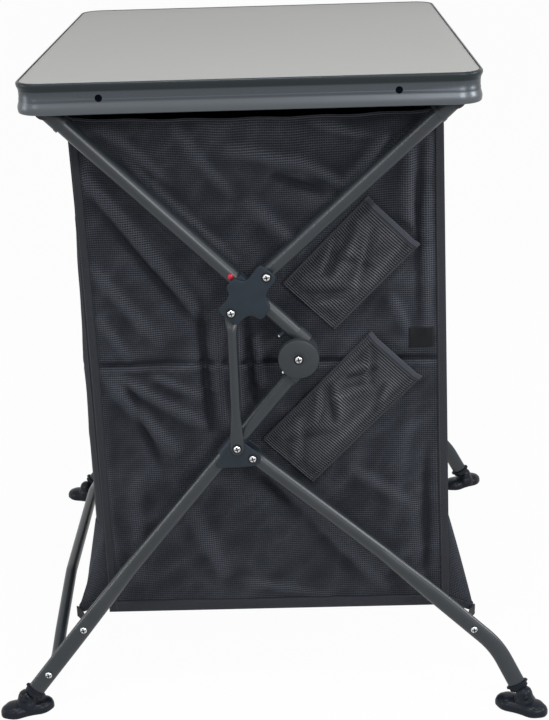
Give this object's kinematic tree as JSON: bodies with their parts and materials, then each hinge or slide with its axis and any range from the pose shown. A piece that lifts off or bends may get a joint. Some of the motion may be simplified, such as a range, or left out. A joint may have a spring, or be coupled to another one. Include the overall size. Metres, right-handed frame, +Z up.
{
  "type": "camp kitchen cupboard",
  "caption": "Folding camp cupboard: fabric box with shelf, roll-up door and side pockets in a hubbed tube frame, under a lift-off rimmed table top.",
  "frame": {"origin": "on the floor under the middle of the table top", "axes": "+X along the table's length towards the end with no pockets, +Y from the door's side to the back, +Z up"},
  "size_m": [0.6414, 0.6736, 0.776],
  "materials": {
    "frame_metal": "satin gunmetal anodised or painted tube",
    "dark_plastic": "satin dark slate moulding",
    "foot_plastic": "glossy blue-black moulding",
    "screw_zinc": "bright zinc plate",
    "button_red": "red moulding",
    "rim_metal": "satin gunmetal extrusion",
    "board_laminate": "pale grey laminate with a fine grain",
    "mesh_cloth": "coated near-black mesh with grey binding",
    "board_cloth": "cloth-covered board"
  },
  "bodies": {
    "cabinet": {"upper_main_tube_near": "frame_metal", "upper_main_tube_far": "frame_metal", "elbow_inner_near": "dark_plastic", "elbow_inner_far": "dark_plastic", "elbow_pin_near": "screw_zinc", "elbow_pin_far": "screw_zinc", "back_corner_near": "dark_plastic", "back_corner_far": "dark_plastic", "end_panel_near": "mesh_cloth", "end_panel_far": "mesh_cloth", "back_top_rail": "frame_metal", "back_panel": "mesh_cloth", "front_surround": "mesh_cloth", "floor_board": "board_cloth", "middle_shelf": "board_cloth", "back_skirt": "mesh_cloth", "front_skirt": "mesh_cloth", "upper_pocket": "mesh_cloth", "lower_pocket": "mesh_cloth"},
    "back_legs": {"back_leg_tube_near": "frame_metal", "back_leg_tube_far": "frame_metal", "leg_bracket_near": "dark_plastic", "leg_bracket_far": "dark_plastic", "elbow_outer_near": "dark_plastic", "elbow_outer_far": "dark_plastic", "leg_pivot_pin_near": "screw_zinc", "leg_pivot_pin_far": "screw_zinc", "back_stretcher": "frame_metal"},
    "hubs": {"star_hub_near": "dark_plastic", "star_hub_far": "dark_plastic", "hub_pivot_pin_near": "screw_zinc", "hub_pivot_pin_far": "screw_zinc"},
    "links": {"link_bar_near": "frame_metal", "link_bar_far": "frame_metal"},
    "front_top": {"upper_front_tube_near": "frame_metal", "upper_front_tube_far": "frame_metal", "front_corner_near": "dark_plastic", "front_corner_far": "dark_plastic", "front_top_rail": "frame_metal"},
    "table": {"table_board": "board_laminate", "table_rim": "rim_metal", "table_clip_front_near": "dark_plastic", "table_clip_front_far": "dark_plastic", "table_clip_back_near": "dark_plastic", "table_clip_back_far": "dark_plastic"},
    "door": {"door_panel": "mesh_cloth"},
    "front_leg_near": {"front_leg_tube_near": "frame_metal"},
    "back_foot_near": {"back_foot_near": "foot_plastic", "back_foot_pin_near": "screw_zinc"},
    "front_foot_near": {"front_foot_near": "foot_plastic", "front_foot_pin_near": "screw_zinc"},
    "lock_button_near": {"lock_button_near": "button_red"},
    "zip_near": {"zip_pull_near": "dark_plastic"},
    "front_leg_far": {"front_leg_tube_far": "frame_metal"},
    "back_foot_far": {"back_foot_far": "foot_plastic", "back_foot_pin_far": "screw_zinc"},
    "front_foot_far": {"front_foot_far": "foot_plastic", "front_foot_pin_far": "screw_zinc"},
    "lock_button_far": {"lock_button_far": "button_red"},
    "zip_far": {"zip_pull_far": "dark_plastic"}
  },
  "joints": [
    {"name": "leg_fold", "type": "hinge", "parent": "cabinet", "child": "back_legs", "pos_m": [0, -0.0461, 0.4544], "axis": [1, 0, 0], "range_deg": [0, 95.4]},
    {"name": "hub_slide", "type": "slide", "parent": "cabinet", "child": "hubs", "axis": [0, 0.7104, 0.7038], "range_m": [0, 0.208]},
    {"name": "link_swing", "type": "hinge", "parent": "hubs", "child": "links", "pos_m": [0, 0.02841, 0.5124], "axis": [1, 0, 0], "range_deg": [-44.9, 0]},
    {"name": "front_top_fold", "type": "hinge", "parent": "hubs", "child": "front_top", "pos_m": [0, -0.01241, 0.5536], "axis": [1, 0, 0], "range_deg": [-93, 0]},
    {"name": "table_lift", "type": "slide", "parent": "cabinet", "child": "table", "axis": [0, 0, 1], "range_m": [0, 0.535]},
    {"name": "door_roll", "type": "hinge", "parent": "cabinet", "child": "door", "pos_m": [0, -0.2034, 0.698], "axis": [-1, 0, 0], "range_deg": [0, 85]},
    {"name": "front_leg_near_fold", "type": "hinge", "parent": "back_legs", "child": "front_leg_near", "pos_m": [-0.272, 0.01035, 0.32938], "axis": [1, 0, 0], "range_deg": [0, 75]},
    {"name": "front_leg_far_fold", "type": "hinge", "parent": "back_legs", "child": "front_leg_far", "pos_m": [0.272, 0.01035, 0.32938], "axis": [1, 0, 0], "range_deg": [0, 75]},
    {"name": "back_foot_near_swivel", "type": "hinge", "parent": "back_legs", "child": "back_foot_near", "pos_m": [-0.3, 0.29239, 0.026], "axis": [1, 0, 0], "range_deg": [-12, 12]},
    {"name": "front_foot_near_swivel", "type": "hinge", "parent": "front_leg_near", "child": "front_foot_near", "pos_m": [-0.3, -0.305, 0.026], "axis": [1, 0, 0], "range_deg": [-12, 12]},
    {"name": "back_foot_far_swivel", "type": "hinge", "parent": "back_legs", "child": "back_foot_far", "pos_m": [0.3, 0.29239, 0.026], "axis": [1, 0, 0], "range_deg": [-12, 12]},
    {"name": "front_foot_far_swivel", "type": "hinge", "parent": "front_leg_far", "child": "front_foot_far", "pos_m": [0.3, -0.305, 0.026], "axis": [1, 0, 0], "range_deg": [-12, 12]},
    {"name": "lock_button_near_press", "type": "slide", "parent": "cabinet", "child": "lock_button_near", "axis": [1, 0, 0], "range_m": [0, 0.003], "stiffness_N_per_m": 600, "springref_m": -0.003},
    {"name": "lock_button_far_press", "type": "slide", "parent": "cabinet", "child": "lock_button_far", "axis": [-1, 0, 0], "range_m": [0, 0.003], "stiffness_N_per_m": 600, "springref_m": -0.003},
    {"name": "zip_near_slide", "type": "slide", "parent": "cabinet", "child": "zip_near", "axis": [0, 0, 1], "range_m": [0, 0.402]},
    {"name": "zip_far_slide", "type": "slide", "parent": "cabinet", "child": "zip_far", "axis": [0, 0, 1], "range_m": [0, 0.402]}
  ],
  "couplings": [
    {"joint": "hub_slide", "follows": "leg_fold", "m_per_rad": 0.1248},
    {"joint": "link_swing", "follows": "leg_fold", "ratio": -0.47},
    {"joint": "front_top_fold", "follows": "leg_fold", "ratio": -0.974},
    {"joint": "table_lift", "follows": "leg_fold", "m_per_rad": 0.32},
    {"joint": "zip_near_slide", "follows": "door_roll", "m_per_rad": 0.27},
    {"joint": "zip_far_slide", "follows": "door_roll", "m_per_rad": 0.27}
  ]
}
